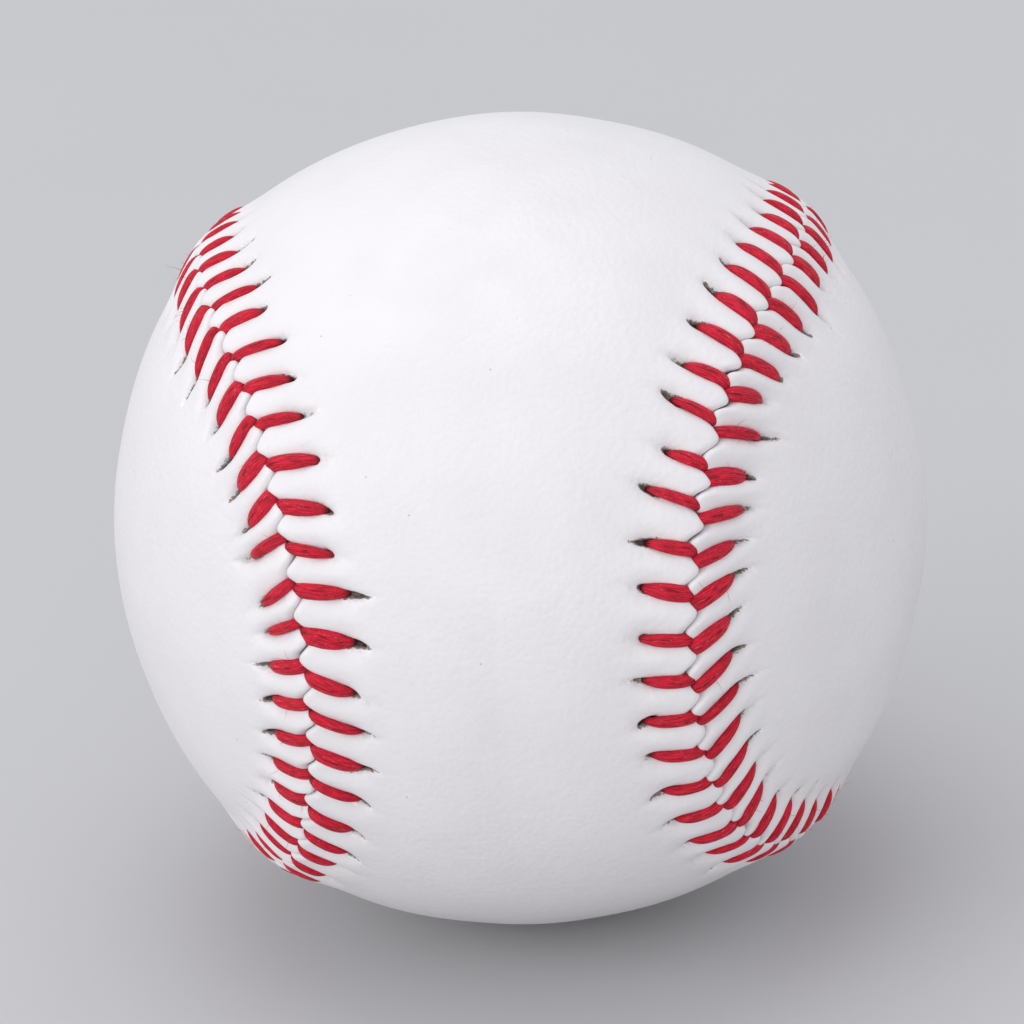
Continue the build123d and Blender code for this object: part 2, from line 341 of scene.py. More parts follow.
def ridge(inward):
    """Share of the seam's lift: a narrow crest, 0.63 exp(-(d/3.4)^1.5), on a broad swell that is 0.37 to
    6 mm from the seam and gone at 20 mm."""
    crest, broad = 0.63, 0.37
    return crest * np.exp(-(inward / 3.4) ** 1.5) + broad * (1 - smooth(6, 20, inward))


def cover_relief(stitches, k, share, inward):
    """Height over the plain ball, and two masks: the slits, brown at the rim with painted shadow inside, and
    painted shade in the creases and along the seam.
    height = lift ridge + pillow f - groove (1 - f) - slit - dimple - crease - roll, with f = |sin(pi u)|^0.9
    for the share u of a stitch length past the stitch line, so that the leather swells into a finger between
    two stitches. w is the distance to the stitch line and a the distance past its hole. The roll rounds the
    edge off as an ellipse, more so at a stitch. All widths and depths are in millimetres."""
    slit_depth, dimple_depth, crease_depth, deepest = 0.85, 0.22, 0.07, 0.94
    slant, roll_depth = 0.95, 0.6
    cover = settings().cover
    inward = inward[:, None] + 0 * share
    w = share * stitches.pitch * slant
    a = inward - stitches.reach[k]
    turned = w + stitches.slit_turn[k] * (a - 0.5)
    length = stitches.slit[k]
    before = np.where(share >= 0, k, k - 1) % STITCHES

    lift = cover.lift / MM * ridge(inward)
    finger = np.abs(np.sin(pi * share)) ** 0.9
    height = lift + cover.pillow / MM * stitches.swell[before] * finger * (1 - smooth(2.6, 7.0, inward))
    height = height - cover.groove / MM * stitches.sink[k] * (1 - finger) * (1 - smooth(-0.8, 2.4, a))
    slit = bell((turned, 0.26)) * plateau(a - 0.45 * length, 0.85 * length, 2.5)
    dimple = bell((w, 1.0), (a - 0.4, 1.25))
    crease = stitches.crease[k] * bell((turned, 0.34)) * smooth(0.6, 1.4, a) * (1 - smooth(1.8, 4.2, a))
    height = height - slit_depth * slit - dimple_depth * dimple - crease_depth * crease
    roll = 0.75 + 0.55 * bell((w, 0.8))
    inside = np.clip(1 - inward / roll, 0, 1)
    height = height - roll * roll_depth * (1 - np.sqrt(1 - inside ** 2))
    height = np.maximum(height, lift - deepest)

    # The slit mask: brown leather at each hole's rim, and painted shadow inside the hole.
    taper = 0.34 - 0.10 * np.clip(a, 0, 2)
    stain = bell((turned, taper)) * plateau(a - 0.5 * length, length, 3)
    # Painted shade: around each hole's dimple, in the creases and along the panel's edge.
    soil = bell((w, 0.62), (a - 0.5, 1.5)) + 0.6 * crease + 0.35 * bell((inward, 0.35))
    return height, stain * stitches.mark[k], np.clip(soil, 0, 1)


def undulation(p):
    """A slow unevenness of the hide, never above the plain ball: the mean of four sine waves, 10 to 13 mm
    long in fixed directions, less one."""
    depth = 0.05
    waves = np.array([[0.41, 0.12, -0.22], [-0.18, 0.37, 0.29], [0.25, -0.33, 0.48], [0.52, 0.31, 0.05]])
    phases = np.array([0.3, 1.9, 4.1, 2.2])
    return depth * (np.sin(p @ waves.T + phases).mean(-1) - 1)


def belts(start, rings, count):
    """Quads that join a row of closed rings, with so many points each, from the point of this number on."""
    first, i = start + np.arange(rings - 1)[:, None] * count, np.arange(count)
    j = (i + 1) % count
    return np.stack([first + i, first + j, first + count + j, first + count + i], -1).reshape(-1, 4)


def ring_steps(fine, coarse, count):
    """Triangles between a closed ring of COARSE, that is 4, times count points and one of count points."""
    i = np.arange(count)
    c, d = coarse + i, coarse + (i + 1) % count
    f = [fine + (COARSE * i + n) % (COARSE * count) for n in range(COARSE + 1)]
    rows = [(c, f[0], f[1]), (c, f[1], f[2]), (c, f[2], d), (d, f[2], f[3]), (d, f[3], f[4])]
    return np.concatenate([np.stack(row, -1) for row in rows])


def welded(points, quads, tris, masks):
    """The same faces with equal points made one, and without the faces that this closes up."""
    _, first, number = np.unique(np.round(points, 4), axis=0, return_index=True, return_inverse=True)
    quads, tris = number.ravel()[quads], number.ravel()[tris]
    order = np.sort(quads, axis=1)
    equal = (order[:, 1:] == order[:, :-1]).sum(1)
    closing = quads[equal == 1]
    tris = np.concatenate([tris, closing[closing != np.roll(closing, -1, axis=1)].reshape(-1, 3)])
    order = np.sort(tris, axis=1)
    tris = tris[(order[:, 1:] != order[:, :-1]).all(1)]
    faces = quads[equal == 0].tolist() + tris.tolist()
    return points[first], faces, {key: values[first] for key, values in masks.items()}


def mesh_piece(name, points, faces, masks, material):
    """A smooth piece from points in millimetres, with its masks as attributes of its points."""
    mesh = bpy.data.meshes.new(name)
    mesh.from_pydata(points * MM, [], faces)
    for key, values in masks.items():
        mesh.attributes.new(key, "FLOAT", "POINT").data.foreach_set("value", values.astype(np.float32))
    mesh.polygons.foreach_set("use_smooth", np.ones(len(mesh.polygons), bool))
    mesh.materials.append(material)
    mesh.update()
    piece = bpy.data.objects.new(name, mesh)
    bpy.context.scene.collection.objects.link(piece)
    return piece


def cover_panel(seam, panels, side, name, material):
    """One leather panel as a closed surface. Its outside is a grid of s along the seam by distance inward
    from the edge, then rows that slide along great circles to the panel's middle line. Its inside is the
    same grid, coarser, one thickness of leather further in."""
    cover, stitches = settings().cover, panels[side]
    radius, leather, lift = seam.radius, cover.leather / MM, cover.lift / MM
    columns = STITCHES * COLUMNS_A_STITCH
    s = np.arange(columns) * seam.length / columns
    sway = seam_sway(seam, panels, s)
    offset = lambda inward, shift: side * (HALF_GAP + inward) + shift * bell((inward, SWAY_FADE))

    k, share = stitches.nearest(seam, s, ROWS_OUTSIDE)
    height, stain, soil = cover_relief(stitches, k, share, ROWS_OUTSIDE)
    gape = stitches.gape[k[0]] * bell((np.abs(share[0]) - 0.28, 0.16))
    places = offset(ROWS_OUTSIDE[:, None], sway + side * gape)
    outside = seam.direction(s + 0 * places, places)
    outside = outside * (radius + (height + undulation(outside * radius)))[..., None]
    wall = outside[0] * (1 - WALL_DEPTH / radius)

    thin = s[::COARSE]
    count = len(thin)
    edge, middle = seam.direction(thin, side * ROWS_OUTSIDE[-1] + 0 * thin), seam.spine(thin, side)
    angle = np.arccos((edge * middle).sum(-1))[:, None]
    shares = np.linspace(0, 1, ROWS_TO_MIDDLE + 1)[1:]
    slid = unit(np.stack([edge * np.sin((1 - t) * angle) + middle * np.sin(t * angle) for t in shares]))
    swell = lift * ridge(seam.nearest(slid.reshape(-1, 3))[1]).reshape(slid.shape[:2])
    rows_out = slid * (radius + swell + undulation(slid * radius))[..., None]
    under = seam.direction(thin + 0 * ROWS_INSIDE, offset(ROWS_INSIDE, sway[::COARSE]))
    under = under * (radius - leather + lift * ridge(ROWS_INSIDE) + 0 * under[..., 0])[..., None]
    rows_in = np.concatenate([under, slid * (radius - leather + swell)[..., None]])

    points = np.concatenate([part.reshape(-1, 3) for part in (wall, outside, rows_out, rows_in)])
    out_start = columns * (len(outside) + 1)
    in_start = out_start + count * len(rows_out)
    quads = np.concatenate([
        belts(0, len(outside) + 1, columns), belts(out_start, len(rows_out), count),
        belts(in_start, len(rows_in), count)[:, ::-1]])
    tris = np.concatenate([
        ring_steps(out_start - columns, out_start, count), ring_steps(0, in_start, count)[:, ::-1]])
    if side == BACK:
        quads, tris = quads[:, ::-1], tris[:, ::-1]
    # No marks on the rows past the seam grid; the wall between the panels gets half of the painted seam
    # shade.
    unmarked = np.zeros(len(points) - out_start)
    masks = {"stain": np.concatenate([0 * s, stain.ravel(), unmarked]),
             "soil": np.concatenate([0 * s + 0.5, soil.ravel(), unmarked])}
    points, faces, masks = welded(points, quads, tris, masks)
    return mesh_piece(name, points, faces, masks, material)


def thread_route(seam, panels):
    """The thread's keys: nine points for each of 216 stitches, with the shares of its width and thickness and
    its shade there. It rises through a hole, crosses its panel in the groove, dives at the seam and runs
    under the other panel, and after one lap goes on to the holes that it passed over."""
    hidden_rise = 0.65  # of the runs under the leather, over its inside
    share_out = 0.40  # of the thickness, by which the middle lies over the groove
    cover, sewing = settings().cover, settings().sewing
    number = np.arange(2 * STITCHES)
    side = np.where(number % 2 == 0, FRONT, BACK)
    place = np.where(number < STITCHES, number, number - STITCHES + 1) % STITCHES
    pick = lambda key: np.where(side == FRONT, *(getattr(panels[n], key)[place] for n in (FRONT, BACK)))
    s, lead, reach, width = (pick(key) for key in ("s", "lead", "reach", "width"))
    under = seam.radius - cover.leather / MM + hidden_rise
    low = seam.radius - cover.groove / MM * pick("sink") + share_out * sewing.thickness / MM
    rows = []
    for share, past, over, wide, deep, dark in THREAD_KEYS:
        inward = share * reach + past
        bed = low + cover.lift / MM * ridge(np.abs(inward))
        radius = under + 0 * bed if over is None else bed + over
        points = seam.direction(s + lead * inward / reach, side * inward) * radius[:, None]
        rows.append((points, wide * width, deep + 0 * width, dark + 0 * width))
    return [np.stack(parts, 1).reshape(-1, *parts[0].shape[1:]) for parts in zip(*rows)]


def spline(keys, steps):
    """A uniform cubic B-spline that follows an open run of keys, so many steps a span: each point is the four
    nearest keys weighted (1-t)^3, 3t^3-6t^2+4, -3t^3+3t^2+3t+1 and t^3, over 6."""
    t = np.arange(steps)[:, None] / steps
    weights = np.concatenate([
        (1 - t) ** 3, 3 * t ** 3 - 6 * t ** 2 + 4, -3 * t ** 3 + 3 * t ** 2 + 3 * t + 1, t ** 3], 1) / 6
    spans = np.stack([keys[n:len(keys) - 3 + n] for n in range(4)], 1)
    return np.einsum("tk,nk...->nt...", weights, spans).reshape(-1, *keys.shape[1:])


def tube(middle, across, over, turn, half_width, half_height):
    """A closed tube along a middle line: a ring of points at each of its points, at these turn angles of an
    oval with its half width across and its half height over. Faces join the rings and close both ends."""
    c, q = np.cos(turn)[None, :, None], np.sin(turn)[None, :, None]
    points = middle[:, None, :] + across[:, None, :] * c * half_width + over[:, None, :] * q * half_height
    around, count = len(turn), len(middle) * len(turn)
    faces = belts(0, len(middle), around)[:, ::-1].tolist()
    faces += [list(range(around)), list(range(count - around, count))[::-1]]
    return points, faces


def tube_masks(turn, length, shade, rest_length, rest_shade):
    """The attributes of a tube and of the points that come after it: the length along it, the place across
    and over its section, and its shade."""
    around, rings = len(turn), len(length)
    return {"along": np.concatenate([np.repeat(length, around), rest_length]),
            "across": np.concatenate([np.tile(np.cos(turn), rings), 0 * rest_length]),
            "over": np.concatenate([np.tile(np.sin(turn), rings), 0 * rest_length]),
            "shade": np.concatenate([np.repeat(shade, around), rest_shade])}


def loose_hairs(root, rise, bend, length):
    """Thin fibres with three sides and closed ends: root + length (t rise + 0.8 t^2 bend) for t from 0 to 1,
    with a radius of 0.018 mm that shrinks to a third of it."""
    rings, sides, thick, curl = 4, 3, 0.018, 0.8
    t = np.linspace(0, 1, rings)[None, :, None]
    middle = root[:, None] + length[:, None, None] * (t * rise[:, None] + curl * t * t * bend[:, None])
    ahead = unit(rise[:, None] + 2 * curl * t * bend[:, None])
    across = unit(np.cross(ahead, bend[:, None]))
    over = np.cross(ahead, across)
    radius = thick * (1 - t * 2 / 3)[..., None]
    turn = np.arange(sides) * 2 * pi / sides
    c, q = np.cos(turn)[:, None], np.sin(turn)[:, None]
    points = middle[:, :, None] + radius * (across[:, :, None] * c + over[:, :, None] * q)
    start = np.arange(len(root))[:, None, None] * rings * sides
    walls = belts(0, rings, sides)
    faces = np.concatenate([walls[:, :3], walls[:, [0, 2, 3]], [[2, 1, 0], [9, 10, 11]]])
    return points.reshape(-1, 3), (start + faces).reshape(-1, 3)


def sewing_thread(seam, panels, material):
    """The one long thread: a flattened round section carried along the spline, with its width always along
    the seam, so that it never twists, and loose hairs on its open runs."""
    in_sight, sweep, shortest, longest = 0.05, 0.6, 0.25, 0.9
    sewing = settings().sewing
    middle, wide, deep, shade = (spline(part, THREAD_STEPS) for part in thread_route(seam, panels))
    ahead = unit(np.gradient(middle, axis=0))
    length = length_along(middle)
    across = square_to(seam.frame(seam.nearest(middle)[0])[1], ahead)
    turn = (np.arange(THREAD_SIDES) + 0.5) * 2 * pi / THREAD_SIDES
    half_width = sewing.width / MM / 2 * wide[:, None, None]
    half_height = sewing.thickness / MM / 2 * deep[:, None, None]
    points, faces = tube(middle, across, np.cross(across, ahead), turn, half_width, half_height)

    draw = np.random.default_rng(HAIR_SEED)
    ring = draw.choice(np.flatnonzero(shade < in_sight), sewing.hairs)
    spot = draw.integers(0, THREAD_SIDES // 2, sewing.hairs)
    root = points[ring, spot]
    rise = unit(root - middle[ring])
    bend = unit(draw.normal(0, 1, rise.shape))
    bend = bend + sweep * ahead[ring] * draw.choice([-1, 1], (sewing.hairs, 1))
    hairs, hair_faces = loose_hairs(root, rise, bend, draw.uniform(shortest, longest, sewing.hairs))
    hair_length = np.repeat(length[ring], len(hairs) // sewing.hairs)
    masks = tube_masks(turn, length, shade, hair_length, 0 * hair_length)
    points = points.reshape(-1, 3)
    faces += (hair_faces + len(points)).tolist()
    return mesh_piece("sewing_thread_waxed", np.concatenate([points, hairs]), faces, masks, material)


def ball_surface(radius, columns, rows, start, order):
    """A closed sphere: points on circles of latitude, with one point at each pole, and its faces, from the
    point of this number on. An order of 1 turns the faces outwards, and of -1 inwards."""
    around = np.arange(columns) * 2 * pi / columns
    rise = np.arange(1, rows)[:, None] * pi / rows - pi / 2
    level = np.cos(rise)
    circles = np.stack([level * np.cos(around), level * np.sin(around), np.sin(rise) + 0 * around], -1)
    points = radius * np.concatenate([circles.reshape(-1, 3), [[0, 0, -1], [0, 0, 1]]])
    low, high = len(points) - 2, len(points) - 1
    i = np.arange(columns)
    j = (i + 1) % columns
    last = (rows - 2) * columns
    quads = start + belts(0, rows - 1, columns)
    tris = start + np.concatenate([
        np.stack([j, i, 0 * i + low], -1), np.stack([last + i, last + j, 0 * i + high], -1)])
    return points, quads[:, ::order].tolist() + tris[:, ::order].tolist()


def winding_line(yarn, radius, bundles, turns, steps):
    """Directions along a yarn wound in great circles: at turn angle a it points to cos(a) e1 + sin(a) e2,
    with e1 and e2 across the turn's axis. The axes come in bundles that are spread over half a sphere by the
    golden angle, and in a bundle each turn tips its axis by one width of yarn. A turn has so many steps."""
    golden = 3 - sqrt(5)  # half turns
    bundle, turn = np.divmod(np.arange(bundles * turns), turns)
    height = (bundle + 0.5) / bundles
    azimuth = bundle * pi * golden
    level = np.sqrt(1 - height ** 2)
    axis = np.stack([level * np.cos(azimuth), level * np.sin(azimuth), height], -1)
    tip = np.stack([-height * np.cos(azimuth + bundle), -height * np.sin(azimuth + bundle), level], -1)
    tilt = np.tan((turn - (turns - 1) / 2) * yarn / radius)
    axis = unit(axis + square_to(tip, axis) * tilt[:, None])
    axis = axis * np.where(axis[:, 2:] < 0, -1, 1)
    place = np.arange(steps * (len(axis) - 1) + 1) / steps
    axis = unit(np.stack([np.interp(place, np.arange(len(axis)), axis[:, n]) for n in range(3)], -1))
    x, y, z = axis.T
    share = 1 / (1 + z)
    first = np.stack([1 - x ** 2 * share, -x * y * share, -x], -1)
    second = np.cross(axis, first)
    angle = place[:, None] * 2 * pi
    return first * np.cos(angle) + second * np.sin(angle)


def wound_layer(name, inside, outside, yarn, flat, lay, rise, material):
    """A wound layer: a closed shell, and over it one yarn of an oval section, whose half height is a flat
    share of its width, with later turns lying up to a rise above the first ones. Its lay is the bundles, the
    turns in each and the steps of a turn."""
    outward = winding_line(yarn, outside, *lay)
    level = outside - flat * yarn - rise * np.linspace(1, 0, len(outward))
    middle = outward * level[:, None]
    ahead = unit(np.gradient(middle, axis=0))
    across = unit(np.cross(ahead, outward))
    turn = pi / 2 + np.arange(YARN_SIDES) * 2 * pi / YARN_SIDES
    points, faces = tube(middle, across, np.cross(across, ahead), turn, yarn / 2, flat * yarn)
    points = points.reshape(-1, 3)
    shell_radius = outside - 2 * flat * yarn - rise / 2
    shell, shell_faces = ball_surface(shell_radius, *SHELL_GRID, len(points), 1)
    hollow, hollow_faces = ball_surface(inside, *HOLLOW_GRID, len(points) + len(shell), -1)
    plain = np.zeros(len(shell) + len(hollow))
    masks = tube_masks(turn, length_along(middle), np.zeros(len(middle)), plain, plain + 1)
    points = np.concatenate([points, shell, hollow])
    return mesh_piece(name, points, faces + shell_faces + hollow_faces, masks, material)


def scaled(colour, share):
    """A colour times a share, or times one share for each channel."""
    return tuple(np.multiply(colour, share).tolist())


class Wires:
    """Adds nodes to a node tree and joins them: a value that is a socket is linked, any other is set."""

    def __init__(self, tree):
        self.tree = tree

    def node(self, kind, options=None, **inputs):
        """A node of a kind with its own options; inputs go by socket name with _ for a space."""
        node = self.tree.nodes.new(kind)
        for key, value in (options or {}).items():
            setattr(node, key, value)
        for key, value in inputs.items():
            self.join(value, node.inputs[key.replace("_", " ")])
        return node

    def join(self, value, socket):
        """Links or sets one input."""
        if isinstance(value, bpy.types.NodeSocket):
            self.tree.links.new(value, socket)
        else:
            socket.default_value = value

    def math(self, operation, *values, kind="ShaderNodeMath"):
        """One step of arithmetic on values, or on vectors with the kind ShaderNodeVectorMath."""
        node = self.node(kind, {"operation": operation})
        for value, socket in zip(values, node.inputs):
            self.join(value, socket)
        return node.outputs[0]

    def plus(self, first, second):
        """The sum of two values."""
        return self.math("ADD", first, second)

    def minus(self, first, second):
        """The first value less the second."""
        return self.math("SUBTRACT", first, second)

    def times(self, first, second):
        """The product of two values."""
        return self.math("MULTIPLY", first, second)

    def mix(self, factor, first, second):
        """Two colours mixed by a factor. The node's inputs 6 and 7 and its output 2 are colours."""
        node = self.node("ShaderNodeMix", {"data_type": "RGBA"})
        self.join(factor, node.inputs[0])
        for colour, socket in ((first, node.inputs[6]), (second, node.inputs[7])):
            self.join(colour if isinstance(colour, bpy.types.NodeSocket) else (*colour, 1), socket)
        return node.outputs[2]

    def ramp(self, value, low, high):
        """0 at low, 1 at high, smooth between them and held outside."""
        return self.node("ShaderNodeMapRange", {"interpolation_type": "SMOOTHSTEP"},
                         Value=value, From_Min=low, From_Max=high).outputs[0]

    def noise(self, place, scale, detail, roughness=0.5):
        """Noise about a place."""
        return self.node("ShaderNodeTexNoise", None, Vector=place, Scale=scale, Detail=detail,
                         Roughness=roughness).outputs["Fac"]

    def noise_along(self, length, scale):
        """Noise along a length."""
        return self.node("ShaderNodeTexNoise", {"noise_dimensions": "1D"}, W=length, Scale=scale,
                         Detail=1.0).outputs["Fac"]

    def cells(self, place, scale):
        """The distance to the nearest of some scattered points."""
        return self.node("ShaderNodeTexVoronoi", {"feature": "F1"}, Vector=place,
                         Scale=scale).outputs["Distance"]

    def vector(self, x, y, z):
        """Three values as a vector."""
        return self.node("ShaderNodeCombineXYZ", None, X=x, Y=y, Z=z).outputs[0]

    def place(self):
        """The place on the piece, in its own coordinates."""
        return self.node("ShaderNodeTexCoord").outputs["Object"]

    def attribute(self, name):
        """One of the piece's own attributes as a value."""
        return self.node("ShaderNodeAttribute", {"attribute_name": name}).outputs["Fac"]

    def effect(self, tree, **inputs):
        """The outputs of a shared effect."""
        return self.node("ShaderNodeGroup", {"node_tree": tree}, **inputs).outputs

    def dress(self, shader, colour, roughness, height, strength, distance):
        """Gives a shader its colour, its roughness and a bump of this height."""
        bump = self.node("ShaderNodeBump", None, Strength=strength, Distance=distance, Height=height)
        self.join(colour, shader.inputs["Base Color"])
        self.join(roughness, shader.inputs["Roughness"])
        self.join(bump.outputs[0], shader.inputs["Normal"])


def new_effect(name, inputs, outputs):
    """A new shader node group with these named sockets, its wires, its inputs and its outputs."""
    tree = bpy.data.node_groups.new(name, "ShaderNodeTree")
    for key, kind, default in inputs:
        socket = tree.interface.new_socket(key, in_out="INPUT", socket_type=kind)
        if default is not None:
            socket.default_value = default
    for key in outputs:
        tree.interface.new_socket(key, in_out="OUTPUT", socket_type="NodeSocketFloat")
    given, out = tree.nodes.new("NodeGroupInput"), tree.nodes.new("NodeGroupOutput")
    return tree, Wires(tree), given.outputs, out.inputs


def grain_effect():
    """Pores and slow mottling, for leather, rubber and cork: Voronoi cells and two noises."""
    if "Grain" in bpy.data.node_groups:
        return bpy.data.node_groups["Grain"]
    tree, wires, given, out = new_effect("Grain", [
        ("Vector", "NodeSocketVector", None), ("Cell", "NodeSocketFloat", 1500.0),
        ("Mottle", "NodeSocketFloat", 90.0)], ["Height", "Mottle"])
    place, cell, nudge = given["Vector"], given["Cell"], 0.0003
    warp = wires.node("ShaderNodeTexNoise", None, Vector=place, Scale=cell, Detail=2.0)
    warped = wires.math("MULTIPLY_ADD", warp.outputs["Color"], (nudge, nudge, nudge), place,
                        kind="ShaderNodeVectorMath")
    pores = wires.times(wires.cells(warped, cell), -0.6)
    fine = wires.noise(place, wires.times(cell, 0.45), 5.0, 0.6)
    wires.join(wires.plus(pores, fine), out["Height"])
    wires.join(wires.noise(place, given["Mottle"], 4.0), out["Mottle"])
    return tree


def strand_effect():
    """Long fibres: noise stretched along the length, with a line of painted shade between two plies that
    wanders from side to side, and small pale marks that are wax specks and painted glints."""
    if "Strands" in bpy.data.node_groups:
        return bpy.data.node_groups["Strands"]
    tree, wires, given, out = new_effect("Strands", [
        ("Along", "NodeSocketFloat", 0.0), ("Across", "NodeSocketFloat", 0.0),
        ("Over", "NodeSocketFloat", 0.0), ("Twist", "NodeSocketFloat", 0.5)],
        ["Height", "Fibre", "Line", "Fleck"])
    along, across, over = given["Along"], given["Across"], given["Over"]
    fibres, wax_glint_fineness = 5.2, 3.0  # how finely each divides the section
    slide = wires.times(along, given["Twist"])
    place = wires.vector(wires.times(along, 0.55), wires.plus(wires.times(across, fibres), slide),
                         wires.times(over, fibres))
    fibre = wires.noise(place, 1.7, 5.0, 0.65)
    # The line of painted shade between the plies, shown in patches along the length.
    middle = wires.times(wires.minus(wires.noise_along(along, 0.16), 0.5), 1.6)
    apart = wires.math("ABSOLUTE", wires.minus(across, middle))
    patch = wires.ramp(wires.noise_along(along, 0.7), 0.42, 0.62)
    line = wires.times(wires.minus(1.0, wires.ramp(apart, 0.02, 0.2)), patch)
    # Small pale marks that are wax specks and painted glints.
    wax_glint_place = wires.vector(
        wires.times(along, 0.8), wires.times(across, wax_glint_fineness), wires.times(over, wax_glint_fineness))
    wax_glint = wires.ramp(wires.noise(wax_glint_place, 3.1, 2.0), 0.66, 0.74)
    wires.join(wires.minus(fibre, wires.times(line, 0.7)), out["Height"])
    wires.join(fibre, out["Fibre"])
    wires.join(line, out["Line"])
    wires.join(wax_glint, out["Fleck"])
    return tree


def strands_of(wires, twist):
    """The fibres of a thread or a yarn, from its own attributes."""
    return wires.effect(strand_effect(), Along=wires.attribute("along"), Across=wires.attribute("across"),
                        Over=wires.attribute("over"), Twist=twist)


def finish_of(name):
    """An empty material with a Principled shader: the material, its wires and the shader."""
    material = bpy.data.materials.new(name)
    material.use_nodes = True
    tree = material.node_tree
    return material, Wires(tree), next(n for n in tree.nodes if n.type == "BSDF_PRINCIPLED")


def leather_finish():
    """White leather: fine pores, slight mottling, brown rims at the holes with painted shadow inside them,
    and painted shade by the seam.
    """
    material, wires, shader = finish_of("White leather")
    white = tuple(settings().cover.colour)
    # A grey brown for painted shade by the seam, and a darker one for real specks.
    seam_shade_colour, specked = (0.45, 0.40, 0.37), (0.30, 0.26, 0.24)
    fuzz, brown = (0.95, 0.94, 0.95), (0.24, 0.19, 0.165)
    # Near black for painted shadow inside the holes, and a greyer brown for paler painted shade in some of
    # them.
    black, grey_hole_shade = (0.018, 0.010, 0.008), (0.15, 0.11, 0.095)

    place = wires.place()
    grain = wires.effect(grain_effect(), Vector=place, Cell=1700.0, Mottle=140.0)
    mottle = wires.ramp(grain["Mottle"], 0.3, 0.75)
    base = wires.mix(wires.times(mottle, 0.5), white, scaled(white, (0.93, 0.925, 0.93)))
    # Painted shade in the creases, by the holes and along the seam, deeper in the pores.
    soil = wires.times(wires.attribute("soil"), wires.ramp(grain["Height"], 0.0, 0.6))
    base = wires.mix(wires.times(soil, 0.30), base, seam_shade_colour)
    speck = wires.minus(1.0, wires.ramp(wires.cells(place, 300.0), 0.018, 0.04))
    base = wires.mix(wires.times(speck, 0.45), base, specked)

    stain = wires.attribute("stain")
    torn = wires.noise(place, 2600.0, 4.0, 0.65)
    # A slow noise: where frays show, and how grey the painted shadow in a hole is.
    slit_noise = wires.noise(place, 230.0, 1.0)
    frayed = wires.times(wires.ramp(stain, 0.02, 0.09), wires.ramp(torn, 0.47, 0.55))
    base = wires.mix(wires.times(frayed, wires.ramp(slit_noise, 0.42, 0.62)), base, fuzz)
    ragged = wires.plus(stain, wires.times(wires.minus(torn, 0.5), 1.1))
    ragged = wires.times(ragged, wires.ramp(stain, 0.03, 0.16))
    # Brown leather at each hole's rim, then painted shadow inside it, near black or greyer by the slow noise.
    base = wires.mix(wires.ramp(ragged, 0.16, 0.34), base, brown)
    dark = wires.mix(wires.ramp(slit_noise, 0.45, 0.68), black, grey_hole_shade)
    base = wires.mix(wires.ramp(ragged, 0.40, 0.66), base, dark)

    roughness = wires.plus(0.40, wires.times(mottle, 0.12))
    wires.dress(shader, base, roughness, grain["Height"], 0.28, 0.0002)
    shader.inputs["Specular IOR Level"].default_value = 0.45
    return material


def thread_finish():
    """Waxed red thread: two plies of lengthwise fibres with painted shade between them, small pale wax specks
    and painted glints, and painted shade where it dives into a hole.
    """
    material, wires, shader = finish_of("Waxed red thread")
    red = tuple(settings().sewing.colour)
    # A pale red for wax specks and painted glints, and a dark red for painted shade where the thread dives
    # into a hole.
    wax_glint_colour, thread_shade_colour = (0.85, 0.36, 0.36), (0.05, 0.012, 0.012)
    strands = strands_of(wires, 0.45)
    fibre = wires.ramp(strands["Fibre"], 0.36, 0.64)
    base = wires.mix(fibre, scaled(red, 0.42), scaled(red, 1.15))
    # Painted shade in the groove between the plies.
    base = wires.mix(wires.times(strands["Line"], 0.75), base, scaled(red, 0.22))
    # Pale red wax specks and painted glints.
    base = wires.mix(wires.times(strands["Fleck"], 0.6), base, wax_glint_colour)
    # Painted shade where the thread dives into its holes, and on its runs under the leather.
    base = wires.mix(wires.ramp(wires.attribute("shade"), 0.25, 0.85), base, thread_shade_colour)
    roughness = wires.minus(0.58, wires.times(fibre, 0.16))
    wires.dress(shader, base, roughness, strands["Height"], 0.6, 0.00025)
    shader.inputs["Specular IOR Level"].default_value = 0.25
    return material


def yarn_finish(name, colour, twist):
    """Wound yarn: twisted fibres along it, with painted shade between its plies and in the gaps between its
    turns.
    """
    material, wires, shader = finish_of(name)
    strands = strands_of(wires, twist)
    fibre = wires.ramp(strands["Fibre"], 0.3, 0.7)
    base = wires.mix(fibre, scaled(colour, 0.55), colour)
    # Painted shade in the groove between the plies.
    base = wires.mix(wires.times(strands["Line"], 0.6), base, scaled(colour, 0.4))
    base = wires.mix(wires.attribute("shade"), base, scaled(colour, 0.35))
    roughness = wires.minus(0.95, wires.times(fibre, 0.12))
    wires.dress(shader, base, roughness, strands["Height"], 0.7, 0.0003)
    shader.inputs["Sheen Weight"].default_value = 0.25
    return material


def grained_finish(name, light, dark, cell, mottle, roughness, strength):
    """Rubber or cork: a mottled colour with a grained surface."""
    material, wires, shader = finish_of(name)
    grain = wires.effect(grain_effect(), Vector=wires.place(), Cell=cell, Mottle=mottle)
    base = wires.mix(wires.ramp(grain["Mottle"], 0.35, 0.65), dark, light)
    uneven = wires.plus(roughness - 0.08, wires.times(grain["Mottle"], 0.16))
    wires.dress(shader, base, uneven, grain["Height"], strength, 0.0003)
    return material


class BASEBALL_OT_cover(bpy.types.Operator):
    """Makes the two leather panels with their raised, sewn edges"""
    bl_idname = "baseball.cover"
    bl_label = "Leather Cover"

    def execute(self, context):
        seam, panels = sewn_ball()
        finish = leather_finish()
        for side, node in ((FRONT, "cover_panel_front"), (BACK, "cover_panel_back")):
            piece = cover_panel(seam, panels, side, node + "_leather", finish)
            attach(piece, "root")
            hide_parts(node)
        return {"FINISHED"}


